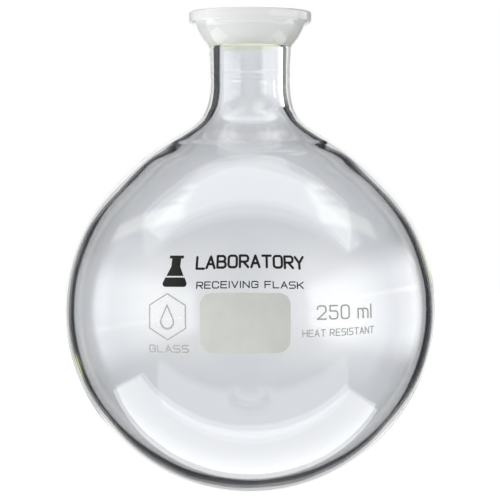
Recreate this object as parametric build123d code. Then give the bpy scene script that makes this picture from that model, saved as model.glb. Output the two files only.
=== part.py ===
from build123d import *
import os
from math import cos, radians, sin, sqrt, tan

# A receiving flask of borosilicate glass: a mould-blown round bulb with its neck, sealed at the
# weld to a short stem that ends in a spherical ground-joint socket. Every marking is fired enamel
# on the front of the bulb. The bulb's lowest point is the origin, +Z is the flask's axis and the
# markings face -Y. Lengths are in millimetres.

# ---- bulb and neck blank
BULB_OD = 85.0                # greatest outside diameter
BULB_HEIGHT = 83.8            # pole to pole, a little less than the diameter
BULB_WALL = 2.0               # glass at the equator
BASE_WALL = 2.4               # glass at the bottom, thicker where the gather settled
SHOULDER_ANGLE = 41.0         # latitude at which the bulb turns into the shoulder
SHOULDER_RISE = 10.75         # from the bulb's upper pole to the straight neck
SHOULDER_FLARE = 22.25        # how far the shoulder keeps following the bulb, outside
SHOULDER_FLARE_IN = 22.0      # the same, inside
NECK_DROP = 14.75             # how far the shoulder keeps following the neck, outside
NECK_DROP_IN = 16.0           # the same, inside
NECK_OD = 18.3
NECK_WALL = 2.1
NECK_STUB = 1.15              # straight neck below the weld

# ---- socket and its stem
STEM_LENGTH = 5.1             # weld to the fillet under the bowl
STEM_FLARE = 0.22             # gain in radius over that length
BALL_D = 22.4                 # diameter of the ball that the socket is ground for
BOWL_WALL = 2.03              # glass between the ground seat and the bowl's outside
BALL_ABOVE_RIM = 1.3          # the ball's centre stands this far above the rim face
BOWL_FILLET = 1.5             # where the bowl leaves the stem
FLANGE_REACH = 1.81           # how far the flange stands out from the bowl
FLANGE_EDGE = 2.9             # height of the flange's edge
FLANGE_SLOPE = 30.0           # underside of the flange, degrees
FLANGE_ROUND = 0.5            # fire-polished edge
RIM_BREAK = 0.3               # broken edge between the seat and the rim face

# ---- enamel markings: size, then azimuth from the front (positive to the right) and height
# ---- above the bulb's equator plane, then tilt
ENAMEL = 0.08                 # fired thickness
PRESS_DEPTH = 4.0             # reach of the printing pad to either side of its tangent plane
PANEL = (20.1, 13.3, 2.7)     # writing panel: width, height, corner radius
PANEL_AT = (-1.4, -2.1)
TITLE = "LABORATORY"
TITLE_AT = (0.0, 11.7)
TITLE_SIZE = (25.0, 3.1, 0.52)        # length, capital height, stroke
SUBTITLE = "RECEIVING FLASK"
SUBTITLE_AT = (0.0, 6.35)
SUBTITLE_SIZE = (24.2, 1.6, 0.24)
CAPACITY = "250 ml"
CAPACITY_AT = (29.2, 0.3, 1.2)
CAPACITY_SIZE = (14.0, 3.2, 0.34)
GRADE = "HEAT RESISTANT"
GRADE_AT = (27.6, -4.1, 2.4)
GRADE_SIZE = (18.2, 1.6, 0.2)
CAPTION = "GLASS"
CAPTION_AT = (-25.0, -7.85)
CAPTION_SIZE = (9.8, 1.75, 0.26)
EMBLEM_AT = (-25.0, -0.75)
EMBLEM_WIDTH = 10.3           # hexagon, corner to corner along its height
EMBLEM_LINE = 0.3
DROP_HEIGHT = 5.6             # droplet inside the hexagon
ICON_AT = (-22.9, 9.35)
ICON_SIZE = (6.5, 7.1)        # conical-flask sign: width, height
ICON_NECK = (2.1, 2.5)        # its neck: width, height
ICON_LIP = (3.3, 0.65)        # its lip: width, height
ICON_LEVEL = 0.5              # clear line at the liquid's level

# ---- stroke letters, drawn on a grid 4 wide and 6 high
LETTER_HEIGHT = 6.0
LETTER_GAP = 1.8              # between letters, in grid steps
LETTER_SPACE = 1.2            # width of a blank
LETTER_BEND = 1.35            # rounding of the curved letters
RING = [(0, 0), (4, 0), (4, 6), (0, 6), (0, 0)]
HOOK = [(4, 4.5), (4, 6), (0, 6), (0, 0), (4, 0), (4, 1.5)]
SNAKE = [(4, 6), (0, 6), (0, 3), (4, 3), (4, 0), (0, 0)]
LOOP = [(0, 6), (4, 6), (4, 2.8), (0, 2.8)]
BELLY = [(0, 3.1), (4, 3.1), (4, 0), (0, 0)]
BELLY_TOP = [(0, 6), (3.7, 6), (3.7, 3.1), (0, 3.1)]
G_HOOK = [(4, 4.5), (4, 6), (0, 6), (0, 0), (4, 0), (4, 2.9)]
TWO = [(0, 4.5), (0, 6), (4, 6), (4, 3.4), (0, 0)]
FIVE = [(0.3, 3.6), (4, 3.6), (4, 0), (0, 0), (0, 1.5)]
ARCH = [(0, 4.2), (2.7, 4.2), (2.7, 0)]
ARCH_NEXT = [(2.7, 4.2), (5.4, 4.2), (5.4, 0)]
STEM = [(0, 0), (0, 6)]
CURVED = [RING, HOOK, SNAKE, LOOP, BELLY, BELLY_TOP, G_HOOK, TWO, FIVE, ARCH, ARCH_NEXT]
LETTERS = {
    "A": [[(0, 0), (2, 6), (4, 0)], [(0.7, 2), (3.3, 2)]],
    "B": [STEM, BELLY_TOP, BELLY],
    "C": [HOOK],
    "E": [[(3.8, 0), (0, 0), (0, 6), (3.8, 6)], [(0, 3.1), (3.4, 3.1)]],
    "F": [[(0, 0), (0, 6), (3.8, 6)], [(0, 3.1), (3.4, 3.1)]],
    "G": [G_HOOK, [(4, 2.9), (2.2, 2.9)]],
    "H": [STEM, [(4, 0), (4, 6)], [(0, 3.1), (4, 3.1)]],
    "I": [STEM],
    "K": [STEM, [(4, 6), (0, 2.3)], [(1.4, 3.6), (4, 0)]],
    "L": [[(0, 6), (0, 0), (3.7, 0)]],
    "N": [[(0, 0), (0, 6), (4, 0), (4, 6)]],
    "O": [RING],
    "R": [STEM, LOOP, [(1.8, 2.8), (4, 0)]],
    "S": [SNAKE],
    "T": [[(0, 6), (4, 6)], [(2, 6), (2, 0)]],
    "V": [[(0, 6), (2, 0), (4, 6)]],
    "Y": [[(0, 6), (2, 2.8), (4, 6)], [(2, 2.8), (2, 0)]],
    "0": [RING],
    "2": [TWO, [(0, 0), (4, 0)]],
    "5": [[(3.8, 6), (0.3, 6), (0.3, 3.6)], FIVE],
    "m": [[(0, 0), (0, 4.2)], ARCH, ARCH_NEXT],
    "l": [STEM],
    " ": [],
}

# ---- heights and radii that follow
EQUATOR = BULB_HEIGHT / 2
STUB_START = BULB_HEIGHT + SHOULDER_RISE
WELD = STUB_START + NECK_STUB
STEM_TOP = WELD + STEM_LENGTH
NECK_RADIUS = NECK_OD / 2
BORE_RADIUS = NECK_RADIUS - NECK_WALL
STEM_RADIUS = NECK_RADIUS + STEM_FLARE
BOWL_RADIUS = BALL_D / 2 + BOWL_WALL
BALL_CENTRE = STEM_TOP + BOWL_FILLET + sqrt(BOWL_RADIUS ** 2 - STEM_RADIUS ** 2)
RIM = BALL_CENTRE - BALL_ABOVE_RIM
FLANGE_UNDER = RIM - FLANGE_EDGE


def polar(radius, height, angle):
    """Point of an ellipse about the bulb's centre, at a parameter angle in degrees."""
    return Vector(radius * cos(radians(angle)), EQUATOR + height * sin(radians(angle)))


def shoulder(radius, height, neck_radius, flare, drop):
    """Curve from the bulb's ellipse to the straight neck, tangent to both."""
    start = polar(radius, height, SHOULDER_ANGLE)
    along = Vector(-radius * sin(radians(SHOULDER_ANGLE)), height * cos(radians(SHOULDER_ANGLE)))
    neck = Vector(neck_radius, STUB_START)
    return Bezier(start, start + along.normalized() * flare, neck - Vector(0, drop), neck)


def bulb_arc(radius, height, angle):
    """Meridian of the bulb from its lowest point up to a parameter angle."""
    return EllipticalCenterArc((0, EQUATOR), radius, height, start_angle=-90, arc_size=angle + 90)


def blank():
    """The blown bulb with its shoulder and neck, open at the weld."""
    inner = (BULB_OD / 2 - BULB_WALL, EQUATOR - BASE_WALL)
    with BuildPart() as glass:
        with BuildSketch(Plane.XZ):
            with BuildLine():
                outer_arc = bulb_arc(BULB_OD / 2, EQUATOR, SHOULDER_ANGLE)
                inner_arc = bulb_arc(*inner, SHOULDER_ANGLE)
                shoulder(BULB_OD / 2, EQUATOR, NECK_RADIUS, SHOULDER_FLARE, NECK_DROP)
                shoulder(*inner, BORE_RADIUS, SHOULDER_FLARE_IN, NECK_DROP_IN)
                Polyline((NECK_RADIUS, STUB_START), (NECK_RADIUS, WELD),
                         (BORE_RADIUS, WELD), (BORE_RADIUS, STUB_START))
                Line(outer_arc @ 0, inner_arc @ 0)
            make_face()
        revolve(axis=Axis.Z)
    return glass.part


def below(radius, circle):
    """Point on the lower half of a circle about the ball's centre, at a radius from the axis."""
    return Vector(radius, BALL_CENTRE - sqrt(circle ** 2 - radius ** 2))


def socket():
    """The stem and its bowl with the ground spherical seat and the flange."""
    seat = BALL_D / 2
    stem_end = below(STEM_RADIUS, BOWL_RADIUS)
    under = FLANGE_UNDER - FLANGE_ROUND
    root = below(sqrt(BOWL_RADIUS ** 2 - (BALL_CENTRE - under) ** 2), BOWL_RADIUS)
    lip = root.X + FLANGE_REACH
    rise = FLANGE_REACH * tan(radians(FLANGE_SLOPE))
    mouth = Vector(sqrt(seat ** 2 - BALL_ABOVE_RIM ** 2), RIM)
    with BuildPart() as glass:
        with BuildSketch(Plane.XZ) as profile:
            with BuildLine():
                Polyline(below(BORE_RADIUS, seat), (BORE_RADIUS, WELD), (NECK_RADIUS, WELD),
                         (STEM_RADIUS, STEM_TOP), stem_end)
                RadiusArc(stem_end, root, -BOWL_RADIUS)
                Polyline(root, (lip, under + rise), (lip, RIM), mouth)
                RadiusArc(mouth, below(BORE_RADIUS, seat), seat)
            make_face()
            edge = profile.vertices().filter_by(lambda v: abs(v.X - lip) < 1e-6)
            fillet(edge, FLANGE_ROUND)
            fillet(profile.vertices().sort_by_distance(stem_end)[0], BOWL_FILLET)
            chamfer(profile.vertices().sort_by_distance(mouth)[0], RIM_BREAK)
        revolve(axis=Axis.Z)
    return glass.part


def bulb_solid(margin):
    """Whole ellipsoid of the bulb's outside, grown by a margin."""
    radius, height = BULB_OD / 2 + margin, EQUATOR + margin
    with BuildPart() as whole:
        with BuildSketch(Plane.XZ):
            with BuildLine():
                arc = EllipticalCenterArc((0, EQUATOR), radius, height, start_angle=-90, arc_size=180)
                Line(arc @ 0, arc @ 1)
            make_face()
        revolve(axis=Axis.Z)
    return whole.part


def tangent_plane(azimuth, right, up):
    """Plane touching the bulb where a ray from its centre through a point of the artwork leaves.

    The artwork lies on the vertical plane that touches the bulb at the azimuth, so the print
    spreads over the glass as a pad presses it: along rays from the bulb's centre.
    """
    turn = radians(azimuth)
    front = Vector(sin(turn), -cos(turn), 0)
    side = Vector(cos(turn), sin(turn), 0)
    ray = (front * (BULB_OD / 2) + side * right + Vector(0, 0, up)).normalized()
    reach = 1 / sqrt((ray.X ** 2 + ray.Y ** 2) / (BULB_OD / 2) ** 2 + (ray.Z / EQUATOR) ** 2)
    origin = ray * reach + Vector(0, 0, EQUATOR)
    normal = Vector(origin.X, origin.Y, (origin.Z - EQUATOR) * (BULB_OD / 2 / EQUATOR) ** 2)
    return Plane(origin, x_dir=Vector(-normal.Y, normal.X, 0), z_dir=normal)


def press(artwork, place):
    """Enamel on the bulb from flat artwork about the origin, each separate figure by itself."""
    azimuth, height = place[:2]
    tilt = place[2] if len(place) > 2 else 0
    shell = bulb_solid(ENAMEL) - bulb_solid(0)
    flat = Rot(0, 0, tilt) * artwork
    pieces = []
    for figure in flat.faces():
        middle = figure.bounding_box().center()
        plane = tangent_plane(azimuth, middle.X, middle.Y + height)
        stamp = plane * Pos(-middle.X, -middle.Y) * figure
        prism = extrude(stamp, amount=PRESS_DEPTH, dir=plane.z_dir, both=True)
        pieces += (prism & shell).solids()
    return Compound(children=pieces)


def panel():
    """Writing panel: its outline spreads along rays from the bulb's centre."""
    width, height, corner = PANEL
    azimuth, rise = PANEL_AT
    turn = radians(azimuth)
    plane = Plane((0, 0, EQUATOR), x_dir=(cos(turn), sin(turn), 0), z_dir=(sin(turn), -cos(turn), 0))
    sections = []
    for reach in (0.8, 1.2):
        outline = Pos(0, rise * reach) * RectangleRounded(width * reach, height * reach, corner * reach)
        sections.append(plane * Pos(0, 0, BULB_OD / 2 * reach) * outline)
    cone = loft(sections, ruled=True)
    return cone & (bulb_solid(ENAMEL) - bulb_solid(0))


def stroke(points, bend, width):
    """Band of a given width along a path whose corners are rounded by a bend."""
    if points[0] == points[-1]:
        path = FilletPolyline(*points[:-1], radius=bend, close=True)
        return make_face(offset(path, width / 2)) - make_face(offset(path, -width / 2))
    path = FilletPolyline(*points, radius=bend) if bend else Polyline(*points)
    return make_face(offset(path, width / 2, side=Side.BOTH))


def lettering(words, size):
    """Plain stroke lettering, centred, of a given length, capital height and stroke."""
    length, capital, width = size
    spans = [max((x for path in LETTERS[letter] for x, y in path), default=LETTER_SPACE)
             for letter in words]
    unit = (length - width) / (sum(spans) + LETTER_GAP * (len(words) - 1))
    rise = (capital - width) / LETTER_HEIGHT
    bend = LETTER_BEND * min(unit, rise)
    text = Sketch()
    left = -(length - width) / 2
    for letter, span in zip(words, spans):
        for path in LETTERS[letter]:
            points = [(left + x * unit, (y - LETTER_HEIGHT / 2) * rise) for x, y in path]
            text += stroke(points, bend if path in CURVED else 0, width)
        left += (span + LETTER_GAP) * unit
    return text


def hexagon():
    """Outline hexagon standing on a corner."""
    outer = RegularPolygon(EMBLEM_WIDTH / 2, 6, rotation=30)
    return outer - RegularPolygon(EMBLEM_WIDTH / 2 - EMBLEM_LINE, 6, rotation=30)


def drop(height):
    """Solid droplet standing on its round end."""
    radius = height * 0.3
    ball = Pos(0, -height / 2 + radius) * Circle(radius)
    tip = Vector(0, height / 2)
    reach = height - radius
    lean = radius / reach
    touch = Vector(radius * sqrt(1 - lean ** 2), -height / 2 + radius + radius * lean)
    return ball + make_face(Polyline(tip, touch, Vector(-touch.X, touch.Y), close=True))


def droplet():
    """Droplet with a line's width of clear glass inside it."""
    inner = Pos(0, -EMBLEM_LINE * 0.35) * drop(DROP_HEIGHT - 3.4 * EMBLEM_LINE)
    return drop(DROP_HEIGHT) - inner


def flask_sign():
    """Solid conical flask with a clear line at the level of its liquid."""
    width, height = ICON_SIZE
    neck, neck_height = ICON_NECK
    foot = -height / 2
    shoulder_height = height / 2 - neck_height
    body = Polyline((-width / 2, foot), (width / 2, foot), (neck / 2, shoulder_height),
                    (neck / 2, height / 2), (-neck / 2, height / 2), (-neck / 2, shoulder_height),
                    close=True)
    sign = fillet(make_face(body).vertices().group_by(Axis.Y)[0], 0.7)
    lip = Pos(0, height / 2 - ICON_LIP[1] / 2) * Rectangle(*ICON_LIP)
    level = Pos(0, foot + (shoulder_height - foot) * 0.5) * Rectangle(width, ICON_LEVEL)
    return sign + lip - level


def build():
    """Every separate piece by its name."""
    return {
        "flask_blank": blank(),
        "ball_socket": socket(),
        "writing_panel": panel(),
        "title_print": press(lettering(TITLE, TITLE_SIZE), TITLE_AT),
        "subtitle_print": press(lettering(SUBTITLE, SUBTITLE_SIZE), SUBTITLE_AT),
        "flask_sign": press(flask_sign(), ICON_AT),
        "capacity_print": press(lettering(CAPACITY, CAPACITY_SIZE), CAPACITY_AT),
        "grade_print": press(lettering(GRADE, GRADE_SIZE), GRADE_AT),
        "emblem_hexagon": press(hexagon(), EMBLEM_AT),
        "emblem_drop": press(droplet(), EMBLEM_AT),
        "caption_print": press(lettering(CAPTION, CAPTION_SIZE), CAPTION_AT),
    }


os.makedirs("parts", exist_ok=True)
for name, solid in build().items():
    export_step(solid, f"parts/{name}.step")
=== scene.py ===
"""Round bottom receiving flask with a spherical ground joint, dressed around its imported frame."""

import logging
import math
from dataclasses import dataclass, field
from enum import Enum

import bmesh
import bpy
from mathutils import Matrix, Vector, noise
from mathutils.geometry import interpolate_bezier


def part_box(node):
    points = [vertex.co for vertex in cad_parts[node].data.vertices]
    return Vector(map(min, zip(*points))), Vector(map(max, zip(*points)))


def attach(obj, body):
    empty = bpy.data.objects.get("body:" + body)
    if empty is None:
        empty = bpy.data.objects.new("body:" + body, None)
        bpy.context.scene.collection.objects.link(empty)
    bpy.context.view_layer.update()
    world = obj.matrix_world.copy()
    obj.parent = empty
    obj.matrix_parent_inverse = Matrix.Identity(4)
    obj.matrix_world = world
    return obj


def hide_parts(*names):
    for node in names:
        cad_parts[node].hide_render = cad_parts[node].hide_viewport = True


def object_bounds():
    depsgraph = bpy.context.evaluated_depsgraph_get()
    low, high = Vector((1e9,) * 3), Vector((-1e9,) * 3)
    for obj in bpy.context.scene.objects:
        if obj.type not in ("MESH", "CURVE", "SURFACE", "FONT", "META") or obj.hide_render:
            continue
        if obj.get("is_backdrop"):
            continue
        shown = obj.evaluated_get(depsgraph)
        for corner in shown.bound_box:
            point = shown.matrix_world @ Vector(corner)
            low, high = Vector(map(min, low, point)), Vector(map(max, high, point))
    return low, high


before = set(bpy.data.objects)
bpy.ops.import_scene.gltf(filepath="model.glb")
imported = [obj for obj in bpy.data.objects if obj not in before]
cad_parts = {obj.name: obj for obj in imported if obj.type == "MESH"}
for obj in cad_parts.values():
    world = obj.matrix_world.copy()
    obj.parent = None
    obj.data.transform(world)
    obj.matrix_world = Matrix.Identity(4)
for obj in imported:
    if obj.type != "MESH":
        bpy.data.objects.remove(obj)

LOG = logging.getLogger("flask")
MM = 0.001
ONE_PLACE = 1e-7
"""Distance, in metres, below which two points count as one."""
GLASS_IOR = 1.473
ENAMEL_IOR = 1.5

Colour = tuple[float, float, float]
Paint = bpy.types.NodeSocket | tuple[float, float, float, float]


# --------------------------------------------------------------------------------------------
# Node helpers
# --------------------------------------------------------------------------------------------


class NodeKit:
    """Short way to place and join the nodes of one tree."""

    def __init__(self, tree: bpy.types.NodeTree) -> None:
        """Keep the tree and empty it."""
        self.tree = tree
        tree.nodes.clear()

    def add(self, kind: str, inputs: dict[str | int, object] | None = None,
            **settings: object) -> bpy.types.Node:
        """Place one node.

        Args:
            kind: The node's type name.
            inputs: Socket name or number to a value, or to the output socket that feeds it.
            settings: Attributes of the node itself.

        Returns:
            The new node.
        """
        node = self.tree.nodes.new(kind)
        for name, value in settings.items():
            setattr(node, name, value)
        for name, value in (inputs or {}).items():
            socket = node.inputs[name]
            if isinstance(value, bpy.types.NodeSocket):
                self.tree.links.new(value, socket)
            else:
                socket.default_value = value
        return node

    def math(self, operation: str, *values: object, clamp: bool = False) -> bpy.types.NodeSocket:
        """Do one scalar sum.

        Args:
            operation: Name of the operation.
            values: Up to three numbers or sockets.
            clamp: Whether the result is kept between 0 and 1.

        Returns:
            The socket that holds the result.
        """
        node = self.add("ShaderNodeMath", dict(enumerate(values)), operation=operation,
                        use_clamp=clamp)
        return node.outputs[0]

    def dot(self, first: object, second: object) -> bpy.types.NodeSocket:
        """Dot product of two vectors."""
        node = self.add("ShaderNodeVectorMath", {0: first, 1: second}, operation="DOT_PRODUCT")
        return node.outputs["Value"]

    def step(self, value: object, start: float, stop: float) -> bpy.types.NodeSocket:
        """Smooth step of a value.

        Args:
            value: Number or socket to read.
            start: Value at which the result leaves 0.
            stop: Value at which the result reaches 1.

        Returns:
            The socket that holds the result.
        """
        node = self.add("ShaderNodeMapRange",
                        {"Value": value, "From Min": start, "From Max": stop},
                        interpolation_type="SMOOTHSTEP")
        return node.outputs["Result"]

    def mix(self, factor: object, first: object, second: object) -> bpy.types.NodeSocket:
        """Blend two colours by a factor."""
        node = self.add("ShaderNodeMix", {0: factor, 6: first, 7: second}, data_type="RGBA")
        return node.outputs[2]


def rgba(colour: Colour) -> tuple[float, float, float, float]:
    """Colour with full opacity."""
    return (*colour, 1.0)


def group(name: str, inputs: dict[str, tuple[str, object]], outputs: dict[str, str]
          ) -> tuple[bpy.types.NodeTree, NodeKit, bpy.types.Node, bpy.types.Node]:
    """Start a shader node group.

    Args:
        name: Name of the group.
        inputs: Input name to its socket kind and default value.
        outputs: Output name to its socket kind.

    Returns:
        The tree, its helper, its input node and its output node.
    """
    tree = bpy.data.node_groups.new(name, "ShaderNodeTree")
    for label, (kind, default) in inputs.items():
        socket = tree.interface.new_socket(name=label, in_out="INPUT", socket_type=kind)
        if default is not None:
            socket.default_value = default
    for label, kind in outputs.items():
        tree.interface.new_socket(name=label, in_out="OUTPUT", socket_type=kind)
    nodes = NodeKit(tree)
    return tree, nodes, nodes.add("NodeGroupInput"), nodes.add("NodeGroupOutput")


class Effects:
    """Surface effects that several finishes share, each built once as a node group."""

    WIPED = (0.55, 0.8)
    """Noise values between which glass goes from clean to wiped."""
    UPRIGHT = (1.0, 1.0, 0.45)
    """Stretch of the wiping marks, which run up and down."""
    GRAIN_SHARE = 0.35
    CLOUD_SHARE = 0.65
    COVER = (0.25, 0.75)
    """Values between which a fired film goes from thin to full."""
    PITTING = 0.25
    """Change of roughness from the thinnest to the fullest film."""

    def __init__(self) -> None:
        """Build every effect."""
        self.handling = self._handling()
        self.mottle = self._mottle()

    def _handling(self) -> bpy.types.NodeTree:
        """Faint wiping marks and settled dust on glass.

        Returns:
            The group, with a roughness and a bump height for the shader.
        """
        tree, nodes, source, sink = group(
            "handling_marks",
            {"Roughness": ("NodeSocketFloat", 0.0), "Marks": ("NodeSocketFloat", 0.02),
             "Scale": ("NodeSocketFloat", 60.0)},
            {"Roughness": "NodeSocketFloat", "Height": "NodeSocketFloat"})
        place = nodes.add("ShaderNodeTexCoord").outputs["Object"]
        stretched = nodes.add("ShaderNodeMapping", {"Vector": place, "Scale": self.UPRIGHT})
        smear = nodes.add("ShaderNodeTexNoise",
                          {"Vector": stretched.outputs[0], "Scale": source.outputs["Scale"],
                           "Detail": 3.0, "Roughness": 0.55})
        patch = nodes.step(smear.outputs["Fac"], *self.WIPED)
        rough = nodes.math("MULTIPLY_ADD", patch, source.outputs["Marks"],
                           source.outputs["Roughness"])
        wave = nodes.add("ShaderNodeTexNoise", {"Vector": place, "Scale": 38.0, "Detail": 1.0})
        nodes.tree.links.new(rough, sink.inputs["Roughness"])
        nodes.tree.links.new(wave.outputs["Fac"], sink.inputs["Height"])
        return tree

    def _mottle(self) -> bpy.types.NodeTree:
        """Uneven cover and fine pitting of a fired film.

        Returns:
            The group, with a colour, a roughness and a bump height for the shader.
        """
        tree, nodes, source, sink = group(
            "fired_mottle",
            {"Thin": ("NodeSocketColor", (0.7, 0.7, 0.7, 1.0)),
             "Full": ("NodeSocketColor", (0.8, 0.8, 0.8, 1.0)),
             "Roughness": ("NodeSocketFloat", 0.5)},
            {"Color": "NodeSocketColor", "Roughness": "NodeSocketFloat",
             "Height": "NodeSocketFloat"})
        place = nodes.add("ShaderNodeTexCoord").outputs["Object"]
        cloud = nodes.add("ShaderNodeTexNoise",
                          {"Vector": place, "Scale": 130.0, "Detail": 4.0, "Roughness": 0.6})
        grain = nodes.add("ShaderNodeTexNoise",
                          {"Vector": place, "Scale": 5200.0, "Detail": 2.0, "Roughness": 0.7})
        clouds = nodes.math("MULTIPLY", cloud.outputs["Fac"], self.CLOUD_SHARE)
        cover = nodes.math("MULTIPLY_ADD", grain.outputs["Fac"], self.GRAIN_SHARE, clouds,
                           clamp=True)
        colour = nodes.mix(nodes.step(cover, *self.COVER), source.outputs["Thin"],
                           source.outputs["Full"])
        rough = nodes.math("MULTIPLY_ADD", nodes.math("SUBTRACT", cover, 0.5), self.PITTING,
                           source.outputs["Roughness"])
        nodes.tree.links.new(colour, sink.inputs["Color"])
        nodes.tree.links.new(rough, sink.inputs["Roughness"])
        nodes.tree.links.new(grain.outputs["Fac"], sink.inputs["Height"])
        return tree


# --------------------------------------------------------------------------------------------
# Finishes
# --------------------------------------------------------------------------------------------


@dataclass(frozen=True)
class ClearGlass:
    """Fire-polished borosilicate glass, a little yellow-green in a narrow band at the foot of the
    socket.

    The band's heights are in millimetres, the depth of the bump in metres.
    """

    name: str = "clear_borosilicate"
    ior: float = GLASS_IOR
    tint: Colour = (0.985, 0.992, 0.99)
    foot_band_tint: Colour = (0.95, 0.98, 0.80)
    foot_band_height: tuple[float, float] = (101.6, 103.4)
    marks: float = 0.012
    bump: float = 0.03
    bump_depth: float = 0.0004

    def make(self, effects: Effects) -> bpy.types.Material:
        """Build the material.

        Args:
            effects: The shared surface effects.

        Returns:
            The finished material.
        """
        material = bpy.data.materials.new(self.name)
        material.use_nodes = True
        nodes = NodeKit(material.node_tree)
        marks = nodes.add("ShaderNodeGroup", node_tree=effects.handling)
        marks.inputs["Marks"].default_value = self.marks
        place = nodes.add("ShaderNodeTexCoord").outputs["Object"]
        height = nodes.add("ShaderNodeSeparateXYZ", {0: place}).outputs["Z"]
        low, high = (value * MM for value in self.foot_band_height)
        middle = (low + high) / 2
        foot_band = nodes.math("MULTIPLY", nodes.step(height, low, middle),
                          nodes.step(height, high, middle))
        colour = nodes.mix(foot_band, rgba(self.tint), rgba(self.foot_band_tint))
        bump = nodes.add("ShaderNodeBump", {"Height": marks.outputs["Height"],
                                            "Strength": self.bump,
                                            "Distance": self.bump_depth})
        glass = nodes.add("ShaderNodeBsdfPrincipled",
                          {"Base Color": colour, "Roughness": marks.outputs["Roughness"],
                           "IOR": self.ior, "Transmission Weight": 1.0,
                           "Normal": bump.outputs[0]})
        nodes.add("ShaderNodeOutputMaterial", {"Surface": glass.outputs[0]})
        return material


@dataclass(frozen=True)
class GroundGlass:
    """Matt glass of a ground joint face, with the depth of its grit in metres."""

    name: str = "ground_seat"
    ior: float = GLASS_IOR
    tint: Colour = (0.98, 0.985, 0.98)
    clearness: float = 0.24
    roughness: float = 0.5
    grit: float = 0.25
    grit_depth: float = 0.00005
    worn: float = 0.97

    def make(self, effects: Effects) -> bpy.types.Material:
        """Build the material.

        Args:
            effects: The shared surface effects.

        Returns:
            The finished material.
        """
        material = bpy.data.materials.new(self.name)
        material.use_nodes = True
        nodes = NodeKit(material.node_tree)
        grind = nodes.add("ShaderNodeGroup", node_tree=effects.mottle)
        grind.inputs["Thin"].default_value = rgba(tuple(c * self.worn for c in self.tint))
        grind.inputs["Full"].default_value = rgba(self.tint)
        grind.inputs["Roughness"].default_value = self.roughness
        bump = nodes.add("ShaderNodeBump", {"Height": grind.outputs["Height"],
                                            "Strength": self.grit,
                                            "Distance": self.grit_depth})
        glass = nodes.add("ShaderNodeBsdfPrincipled",
                          {"Base Color": grind.outputs["Color"],
                           "Roughness": grind.outputs["Roughness"], "IOR": self.ior,
                           "Transmission Weight": self.clearness, "Normal": bump.outputs[0]})
        nodes.add("ShaderNodeOutputMaterial", {"Surface": glass.outputs[0]})
        return material


@dataclass(frozen=True)
class Enamel:
    """Enamel film fired on the glass, with the depth of its bump in metres."""

    name: str
    thin: Colour
    full: Colour
    roughness: float
    bump: float
    bump_depth: float = 0.00003

    def make(self, effects: Effects) -> bpy.types.Material:
        """Build the material.

        Args:
            effects: The shared surface effects.

        Returns:
            The finished material.
        """
        material = bpy.data.materials.new(self.name)
        material.use_nodes = True
        nodes = NodeKit(material.node_tree)
        film = nodes.add("ShaderNodeGroup", node_tree=effects.mottle)
        film.inputs["Thin"].default_value = rgba(self.thin)
        film.inputs["Full"].default_value = rgba(self.full)
        film.inputs["Roughness"].default_value = self.roughness
        bump = nodes.add("ShaderNodeBump", {"Height": film.outputs["Height"],
                                            "Strength": self.bump,
                                            "Distance": self.bump_depth})
        body = nodes.add("ShaderNodeBsdfPrincipled",
                         {"Base Color": film.outputs["Color"],
                          "Roughness": film.outputs["Roughness"], "IOR": ENAMEL_IOR,
                          "Normal": bump.outputs[0]})
        nodes.add("ShaderNodeOutputMaterial", {"Surface": body.outputs[0]})
        return material


class Film(Enum):
    """The enamels that the bulb is printed with."""

    WHITE = Enamel("grey_white_enamel", (0.405, 0.415, 0.392), (0.462, 0.472, 0.448), 0.62, 0.3)
    BLACK = Enamel("black_enamel", (0.008, 0.0075, 0.007), (0.014, 0.013, 0.012), 0.38, 0.15)
    PALE = Enamel("pale_enamel", (0.26, 0.275, 0.245), (0.33, 0.345, 0.31), 0.6, 0.2)


# --------------------------------------------------------------------------------------------
# The vessel
# --------------------------------------------------------------------------------------------


def arc(centre: float, radii: tuple[float, float], start: float, stop: float, steps: int,
        offset: float = 0.0) -> list[Vector]:
    """Points along an upright ellipse's arc.

    Args:
        centre: Height of its centre.
        radii: Its half width and half height.
        start: First angle, in degrees.
        stop: Last angle, in degrees.
        steps: Number of stretches.
        offset: Distance of its centre from the axis.

    Returns:
        The points, with the radius in X and the height in Z.
    """
    angles = (math.radians(start + (stop - start) * i / steps) for i in range(steps + 1))
    return [Vector((offset + radii[0] * math.cos(a), 0.0, centre + radii[1] * math.sin(a)))
            for a in angles]


@dataclass(frozen=True)
class Waviness:
    """How far the inner wall wanders from a true turned surface.

    Amounts, heights and spreads are in millimetres, pitches in turns per millimetre.
    """

    ripple: float = 0.03
    broad_pitch: float = 0.055
    fine_share: float = 0.4
    fine_pitch: float = 0.14
    worked: float = 0.22
    worked_height: float = 83.0
    worked_spread: float = 9.0
    across_pitch: float = 0.05
    along_pitch: float = 0.22
    weld_fade: float = 2.5

    def shift(self, place: Vector, weld: float) -> float:
        """How far one point of the inner wall moves.

        Args:
            place: The point, in millimetres.
            weld: Height of the weld, where the wandering ends.

        Returns:
            The distance along the point's normal, in millimetres.
        """
        ripple = noise.noise(place * self.broad_pitch) + self.fine_share * noise.noise(
            place * self.fine_pitch)
        worked = math.exp(-((place.z - self.worked_height) / self.worked_spread) ** 2)
        rings = noise.noise(Vector((place.x * self.across_pitch, place.y * self.across_pitch,
                                    place.z * self.along_pitch)))
        fade = min(1.0, (weld - place.z) / self.weld_fade)
        return (self.ripple * ripple + self.worked * worked * rings) * fade


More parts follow.
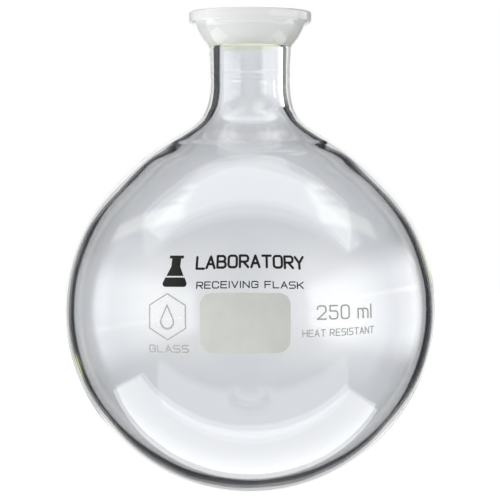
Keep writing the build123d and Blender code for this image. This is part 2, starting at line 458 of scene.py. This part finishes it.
@dataclass
class Vessel:
    """Bulb, neck and socket as the one closed skin of glass that the weld leaves.

    Sizes are in millimetres and angles in degrees. In a pair, the first value is for the
    outside of the glass and the second for the inside. The slacks are how near a point of
    the mesh has to be to the seat, the bore or the rim to count as on it.
    """

    bulb_wall: float = 2.0
    base_wall: float = 2.4
    shoulder_angle: float = 41.0
    shoulder_rise: float = 10.75
    flare: tuple[float, float] = (22.25, 22.0)
    drop: tuple[float, float] = (14.75, 16.0)
    neck_radius: float = 9.15
    bore_radius: float = 7.05
    weld_bead: float = 0.07
    bead_spread: float = 2.2
    bead_stretch: float = 0.2
    bead_steps: int = 5
    stem_flare: float = 0.22
    stem_length: float = 5.1
    ball_radius: float = 11.2
    bowl_wall: float = 2.03
    bowl_fillet: float = 1.5
    ball_above_rim: float = 1.3
    flange_edge: float = 2.9
    flange_slope: float = 30.0
    flange_round: float = 0.5
    rim_break: float = 0.3
    turns: int = 224
    bulb_steps: int = 110
    shoulder_points: int = 49
    bore_steps: int = 6
    fillet_steps: int = 8
    bowl_steps: int = 14
    seat_steps: int = 20
    seat_slack: float = 0.1
    bore_slack: float = 0.02
    rim_slack: float = 0.01
    waviness: Waviness = Waviness()
    bulb_height: float = 83.8
    bulb: float = field(init=False)
    weld: float = field(init=False)
    rim: float = field(init=False)
    lip: float = field(init=False)

    def __post_init__(self) -> None:
        """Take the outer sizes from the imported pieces."""
        blank_low, blank_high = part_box("flask_blank")
        socket_low, socket_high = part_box("ball_socket")
        self.bulb = blank_high.x / MM
        self.weld = blank_high.z / MM
        self.rim = socket_high.z / MM
        self.lip = socket_high.x / MM

    @property
    def equator(self) -> float:
        """Height of the bulb's centre."""
        return self.bulb_height / 2

    @property
    def ball_centre(self) -> float:
        """Height of the mating ball's centre."""
        return self.rim + self.ball_above_rim

    @property
    def mouth(self) -> float:
        """Radius of the mouth, where the ball's surface meets the rim face."""
        return math.sqrt(self.ball_radius ** 2 - self.ball_above_rim ** 2)

    def shoulder(self, radii: tuple[float, float], neck: float, side: int) -> list[Vector]:
        """Curve from the bulb to the neck.

        Args:
            radii: Half width and half height of the bulb's ellipse on this side of the glass.
            neck: Radius of the neck on this side.
            side: 0 for the outside, 1 for the inside.

        Returns:
            The points from the bulb up to the neck, without the first.
        """
        angle = math.radians(self.shoulder_angle)
        start = Vector((radii[0] * math.cos(angle), 0, self.equator + radii[1] * math.sin(angle)))
        along = Vector((-radii[0] * math.sin(angle), 0, radii[1] * math.cos(angle))).normalized()
        stop = Vector((neck, 0, self.bulb_height + self.shoulder_rise))
        return interpolate_bezier(start, start + along * self.flare[side],
                                  stop - Vector((0, 0, self.drop[side])), stop,
                                  self.shoulder_points)[1:]

    def outside(self) -> list[Vector]:
        """Outline from the bulb's lowest point up to the flange's underside.

        Returns:
            The points in millimetres.
        """
        radii = (self.bulb, self.equator)
        line = arc(self.equator, radii, -90, self.shoulder_angle, self.bulb_steps)
        line += self.shoulder(radii, self.neck_radius, 0)
        for step in range(-self.bead_steps, self.bead_steps + 1):
            bead = self.weld_bead * math.exp(-(step / self.bead_spread) ** 2)
            line.append(Vector((self.neck_radius + bead, 0,
                                self.weld + step * self.bead_stretch)))
        stem = self.neck_radius + self.stem_flare
        line += [Vector((stem, 0, self.weld + self.stem_length))]
        bowl = self.ball_radius + self.bowl_wall
        reach = bowl + self.bowl_fillet
        across = stem + self.bowl_fillet
        fall = math.degrees(math.acos(across / reach))
        hollow = self.ball_centre - reach * math.sin(math.radians(fall))
        line += arc(hollow, (self.bowl_fillet,) * 2, 180, 180 - fall,
                    self.fillet_steps, across)
        under = self.rim - self.flange_edge - self.flange_round
        rise = math.degrees(math.asin((self.ball_centre - under) / bowl))
        line += arc(self.ball_centre, (bowl,) * 2, -fall, -rise, self.bowl_steps)[1:]
        return line

    def flange(self, root: Vector) -> list[Vector]:
        """Outline of the flange.

        Args:
            root: Where its underside leaves the bowl.

        Returns:
            The corners from the lip's lower edge to the mouth.
        """
        rise = (self.lip - root.x) * math.tan(math.radians(self.flange_slope))
        return [Vector((self.lip, 0, root.z + rise)), Vector((self.lip, 0, self.rim)),
                Vector((self.mouth, 0, self.rim))]

    def inside(self) -> list[Vector]:
        """Outline from below the mouth down to the bulb's inner lowest point.

        Returns:
            The points in millimetres.
        """
        mouth = math.degrees(math.asin(self.ball_above_rim / self.ball_radius))
        bore = math.degrees(math.acos(self.bore_radius / self.ball_radius))
        line = arc(self.ball_centre, (self.ball_radius,) * 2, -mouth, -bore, self.seat_steps)[1:]
        seat, top = line[-1].z, self.bulb_height + self.shoulder_rise
        line += [Vector((self.bore_radius, 0, seat + (top - seat) * i / self.bore_steps))
                 for i in range(1, self.bore_steps)]
        radii = (self.bulb - self.bulb_wall, self.equator - self.base_wall)
        line += reversed(self.shoulder(radii, self.bore_radius, 1))
        line += reversed(arc(self.equator, radii, -90, self.shoulder_angle, self.bulb_steps))
        return line

    def wander(self, bm: bmesh.types.BMesh) -> None:
        """Let the inner wall wander a little, as blown glass does, most of all at the neck.

        Args:
            bm: The vessel's mesh.
        """
        for vert in bm.verts:
            place = vert.co / MM
            if self.within(place):
                vert.co += vert.normal * (self.waviness.shift(place, self.weld) * MM)

    def within(self, place: Vector) -> bool:
        """Whether a point of the skin lies on the inner wall below the weld.

        Args:
            place: The point, in millimetres.

        Returns:
            True on the inner wall, save for the point on the axis.
        """
        radius = math.hypot(place.x, place.y)
        if radius < 1e-6 or place.z > self.weld:
            return False
        if place.z > self.equator and radius < self.bore_radius + 1:
            return True
        return (radius / (self.bulb - self.bulb_wall * 0.5)) ** 2 + (
            (place.z - self.equator) / (self.equator - self.base_wall * 0.5)) ** 2 <= 1

    def build(self) -> bpy.types.Object:
        """Turn the outline into the vessel.

        Returns:
            The finished object, with ground faces in its second material slot.
        """
        bm = bmesh.new()
        outline = self.outside()
        outline += self.flange(outline[-1])
        outline += self.inside()
        verts = [bm.verts.new(point * MM) for point in outline]
        edges = [bm.edges.new(pair) for pair in zip(verts, verts[1:])]
        bmesh.ops.spin(bm, geom=verts + edges, cent=(0, 0, 0), axis=(0, 0, 1),
                       angle=2 * math.pi, steps=self.turns, use_merge=True)
        bmesh.ops.remove_doubles(bm, verts=bm.verts, dist=ONE_PLACE)
        bmesh.ops.recalc_face_normals(bm, faces=bm.faces)
        self.soften(bm, self.lip, self.flange_round)
        self.soften(bm, self.mouth, self.rim_break)
        self.wander(bm)
        for face in bm.faces:
            face.smooth = True
            face.material_index = int(self.ground(face.calc_center_median() / MM))
        mesh = bpy.data.meshes.new("flask_glass")
        bm.to_mesh(mesh)
        bm.free()
        piece = bpy.data.objects.new("flask_glass", mesh)
        bpy.context.scene.collection.objects.link(piece)
        return piece

    def soften(self, bm: bmesh.types.BMesh, radius: float, size: float) -> None:
        """Round the sharp rings of the flange at one radius.

        Args:
            bm: The vessel's mesh.
            radius: Radius of the rings, in millimetres.
            size: Rounding, in millimetres.
        """
        rings = [edge for edge in bm.edges
                 if all(abs(math.hypot(v.co.x, v.co.y) / MM - radius) < 1e-3
                        and v.co.z / MM > self.rim - self.flange_edge - 1 for v in edge.verts)
                 and abs(edge.verts[0].co.z - edge.verts[1].co.z) < ONE_PLACE]
        bmesh.ops.bevel(bm, geom=rings, offset=size * MM, segments=4, profile=0.5,
                        affect="EDGES", material=-1)

    def ground(self, place: Vector) -> bool:
        """Whether a point of the skin lies on the ground seat or on the rim face."""
        radius = math.hypot(place.x, place.y)
        reach = math.hypot(radius, place.z - self.ball_centre)
        seat = (reach < self.ball_radius + self.seat_slack
                and radius > self.bore_radius + self.bore_slack)
        return seat or self.on_rim(place)

    def on_rim(self, place: Vector) -> bool:
        """Whether a point of the skin lies on the flat rim face."""
        radius = math.hypot(place.x, place.y)
        return place.z > self.rim - self.rim_slack and radius < self.lip - self.flange_round

    def dress(self, piece: bpy.types.Object, effects: Effects) -> None:
        """Give the vessel its glass and its place.

        Args:
            piece: The vessel's object.
            effects: The shared surface effects.
        """
        piece.data.materials.append(ClearGlass().make(effects))
        piece.data.materials.append(GroundGlass().make(effects))
        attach(piece, "root")
        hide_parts("flask_blank", "ball_socket")


@dataclass
class Markings:
    """The enamel figures and lettering on the front of the bulb."""

    films: dict[str, Film] = field(default_factory=lambda: {
        "writing_panel": Film.WHITE, "title_print": Film.BLACK, "subtitle_print": Film.BLACK,
        "flask_sign": Film.BLACK, "capacity_print": Film.PALE, "grade_print": Film.PALE,
        "emblem_hexagon": Film.PALE, "emblem_drop": Film.PALE, "caption_print": Film.PALE})

    def dress(self, effects: Effects) -> None:
        """Give each printed node its enamel.

        Args:
            effects: The shared surface effects.
        """
        made = {film: film.value.make(effects) for film in Film}
        for node, film in self.films.items():
            for slot in bpy.data.objects[node].material_slots:
                slot.material = made[film]
            LOG.info("%s: %s", node, film.value.name)


# --------------------------------------------------------------------------------------------
# The studio
# --------------------------------------------------------------------------------------------


@dataclass(frozen=True)
class Card:
    """One panel of the surroundings, a light box or a pale board, very far off.

    Azimuth 0 lies behind the flask, 90 to its right and 180 on the camera's side; azimuth
    and elevation are in degrees. The halves, the soft edge and the offset are lengths on a
    plane at distance 1 that faces the flask.
    """

    azimuth: float
    elevation: float
    half_width: float
    half_height: float
    strength: float
    soft: float = 0.02
    colour: Colour = (1.0, 1.0, 1.0)
    offset: tuple[float, float] = (0.0, 0.0)

    def axes(self) -> tuple[Vector, Vector, Vector]:
        """Directions of the card.

        Returns:
            The ways to its middle, to its right and up.
        """
        turn, lift = math.radians(self.azimuth), math.radians(self.elevation)
        ahead = Vector((math.sin(turn) * math.cos(lift), math.cos(turn) * math.cos(lift),
                        math.sin(lift)))
        right = Vector((math.cos(turn), -math.sin(turn), 0))
        return ahead, right, right.cross(ahead)


@dataclass
class Studio:
    """Pale sweep, soft surroundings and the camera.

    Lengths are in metres, but for the camera's sensor in millimetres. A depth above
    any_bounce means at least one bounce of that kind, and more than near_wall_passes
    passages through a face of glass mean that the light went on to the far wall.
    """

    distance: float = 0.65
    view_height: float = 0.0556
    frame_width: float = 0.1150
    sensor_width: float = 36.0
    room: tuple[Card, ...] = (
        Card(0, 0, 0.36, 0.36, 0.95, 0.03),
        Card(180, 0, 0.34, 0.34, 0.35, 0.3, (0.93, 0.96, 1.0)),
        Card(95, 2, 1.1, 0.36, 2.3, 0.16, (0.97, 0.98, 1.0)),
        Card(-97, 13, 0.52, 0.39, 0.9, 0.16, (0.97, 0.98, 1.0)),
        Card(92, 7.5, 0.9, 0.016, 2.8, 0.008),
        Card(180, 50, 1.7, 0.63, 1.42, 0.03, (0.98, 0.99, 1.0), (0.155, 0.87)),
        Card(-24, -9.5, 0.02, 0.025, 1.4, 0.02, (0.80, 0.90, 0.25)),
        Card(13, 2.8, 0.02, 0.025, 1.4, 0.02, (0.80, 0.90, 0.25)),
    )
    seen_through: tuple[Card, ...] = (
        Card(-5.0, 3.65, 0.042, 0.0125, 0.92, 0.005, (0.97, 0.98, 1.0)),
        Card(4.4, 3.65, 0.030, 0.0125, 0.90, 0.005, (0.97, 0.98, 1.0)),
        Card(14, 3.65, 0.030, 0.0125, 1.02, 0.005, (0.97, 0.98, 1.0)),
        Card(-2.7, -0.9, 0.034, 0.034, 0.90, 0.028, (0.97, 0.975, 1.0)),
        Card(2.8, -0.9, 0.034, 0.034, 0.99, 0.028, (0.97, 0.975, 1.0)),
    )
    near_floor: Card = Card(0, -90, 1.42, 0.53, 2.5, 0.02, (0.98, 0.99, 1.0), (-0.2, 0.365))
    far_floor: Card = Card(0, -90, 1.42, 0.2275, 1.75, 0.03, (0.98, 0.99, 1.0), (-0.2, 0.0625))
    dim: Colour = (0.035, 0.037, 0.043)
    beyond: Colour = (0.715, 0.725, 0.765)
    fill_left: Colour = (2.15, 2.15, 2.13)
    fill_right: Colour = (0.85, 0.85, 0.84)
    fill_above: Colour = (0.82, 0.83, 0.84)
    fill_rise: tuple[float, float] = (0.15, 0.9)
    any_bounce: float = 0.5
    near_wall_passes: float = 3.5
    floor_radius: float = 3.0
    floor_gap: float = 0.0002
    floor_tone: Colour = (0.8, 0.8, 0.8)
    floor_glow: float = 0.75

    def paint(self, nodes: NodeKit, base: Paint, *cards: Card) -> Paint:
        """Hang cards in front of a plain tone or of other cards.

        Args:
            nodes: The world's nodes.
            base: Colour between the cards.
            cards: The cards, each one over those before it.

        Returns:
            The colour by direction.
        """
        way = nodes.add("ShaderNodeTexCoord").outputs["Generated"]
        colour = base
        for card in cards:
            ahead, right, up = card.axes()
            depth = nodes.dot(way, ahead)
            front = nodes.math("MAXIMUM", depth, 0.001)
            mask = nodes.step(depth, 0.0, 0.05)
            halves = (card.half_width, card.half_height)
            for side, half, middle in zip((right, up), halves, card.offset):
                off = nodes.math("DIVIDE", nodes.dot(way, side), front)
                off = nodes.math("ABSOLUTE", nodes.math("SUBTRACT", off, middle))
                mask = nodes.math("MULTIPLY", mask,
                                  nodes.step(off, half + card.soft, half - card.soft))
            lit = tuple(c * card.strength for c in card.colour)
            colour = nodes.mix(mask, colour, rgba(lit))
        return colour

    def surroundings(self) -> None:
        """Build the light around the flask.

        The camera sees plain white. Straight through the glass lies a pale sweep, what the
        glass mirrors is a dark room with light boxes, and matt films get an even light. What
        the far wall of the bulb mirrors has a shorter stretch of bright floor.
        """
        world = bpy.data.worlds.new("studio")
        bpy.context.scene.world = world
        world.cycles.sampling_method = "NONE"
        world.use_nodes = True
        nodes = NodeKit(world.node_tree)
        path = nodes.add("ShaderNodeLightPath")
        passes = path.outputs["Transmission Depth"]
        straight = nodes.math("MULTIPLY",
                              nodes.math("LESS_THAN", path.outputs["Glossy Depth"],
                                         self.any_bounce),
                              nodes.math("GREATER_THAN", passes, self.any_bounce))
        room = self.paint(nodes, rgba(self.dim), *self.room)
        mirrored = nodes.mix(nodes.math("GREATER_THAN", passes, self.near_wall_passes),
                             self.paint(nodes, room, self.near_floor),
                             self.paint(nodes, room, self.far_floor))
        colour = nodes.mix(straight, mirrored,
                           self.paint(nodes, rgba(self.beyond), *self.seen_through))
        matt = nodes.math("GREATER_THAN", path.outputs["Diffuse Depth"], self.any_bounce)
        way = nodes.add("ShaderNodeTexCoord").outputs["Generated"]
        parts = nodes.add("ShaderNodeSeparateXYZ", {0: way}).outputs
        fill = nodes.mix(nodes.step(parts["X"], -1.0, 1.0), rgba(self.fill_left),
                         rgba(self.fill_right))
        fill = nodes.mix(nodes.step(parts["Z"], *self.fill_rise), fill, rgba(self.fill_above))
        colour = nodes.mix(matt, colour, fill)
        around = nodes.add("ShaderNodeBackground", {"Color": colour, "Strength": 1.0})
        plain = nodes.add("ShaderNodeBackground", {"Color": (1.0, 1.0, 1.0, 1.0), "Strength": 1.0})
        mixed = nodes.add("ShaderNodeMixShader", {0: path.outputs["Is Camera Ray"],
                                                  1: around.outputs[0], 2: plain.outputs[0]})
        nodes.add("ShaderNodeOutputWorld", {"Surface": mixed.outputs[0]})

    def floor(self) -> None:
        """Lay the pale sweep that the flask stands on, which can be looked through from below."""
        bm = bmesh.new()
        bmesh.ops.create_circle(bm, cap_ends=True, radius=self.floor_radius, segments=96)
        mesh = bpy.data.meshes.new("pale_floor")
        bm.to_mesh(mesh)
        bm.free()
        piece = bpy.data.objects.new("pale_floor", mesh)
        piece.location.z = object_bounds()[0].z - self.floor_gap
        bpy.context.scene.collection.objects.link(piece)
        for ray in ("glossy", "transmission", "diffuse", "volume_scatter"):
            setattr(piece, f"visible_{ray}", False)
        material = bpy.data.materials.new("pale_floor")
        material.use_nodes = True
        nodes = NodeKit(material.node_tree)
        paint = nodes.add("ShaderNodeBsdfPrincipled",
                          {"Base Color": rgba(self.floor_tone), "Roughness": 1.0,
                           "Emission Color": (1.0, 1.0, 1.0, 1.0),
                           "Emission Strength": self.floor_glow})
        under = nodes.add("ShaderNodeNewGeometry").outputs["Backfacing"]
        gone = nodes.add("ShaderNodeBsdfTransparent")
        mixed = nodes.add("ShaderNodeMixShader", {0: under, 1: paint.outputs[0],
                                                  2: gone.outputs[0]})
        nodes.add("ShaderNodeOutputMaterial", {"Surface": mixed.outputs[0]})
        mesh.materials.append(material)
        piece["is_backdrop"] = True

    def camera(self) -> None:
        """Set up the camera, level and in front of the markings."""
        data = bpy.data.cameras.new("camera")
        data.sensor_width = self.sensor_width
        data.lens = data.sensor_width * self.distance / self.frame_width
        data.clip_end = 20.0
        piece = bpy.data.objects.new("camera", data)
        piece.location = (0.0, -self.distance, self.view_height)
        piece.rotation_euler = (math.pi / 2, 0.0, 0.0)
        bpy.context.scene.collection.objects.link(piece)
        bpy.context.scene.camera = piece

    def build(self) -> None:
        """Set up the whole studio."""
        self.surroundings()
        self.floor()
        self.camera()
        scene = bpy.context.scene
        scene.view_settings.view_transform = "Standard"
        scene.cycles.max_bounces = 24
        scene.cycles.transmission_bounces = 24
        scene.cycles.glossy_bounces = 16
        scene.cycles.caustics_refractive = True
        scene.cycles.caustics_reflective = True


def main() -> None:
    """Build every piece in order and report it."""
    logging.basicConfig(level=logging.INFO, format="%(name)s: %(message)s")
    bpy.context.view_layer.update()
    effects = Effects()
    vessel = Vessel()
    glass = vessel.build()
    vessel.dress(glass, effects)
    LOG.info("%s: %d faces", glass.name, len(glass.data.polygons))
    Markings().dress(effects)
    Studio().build()


if __name__ == "__main__":
    main()
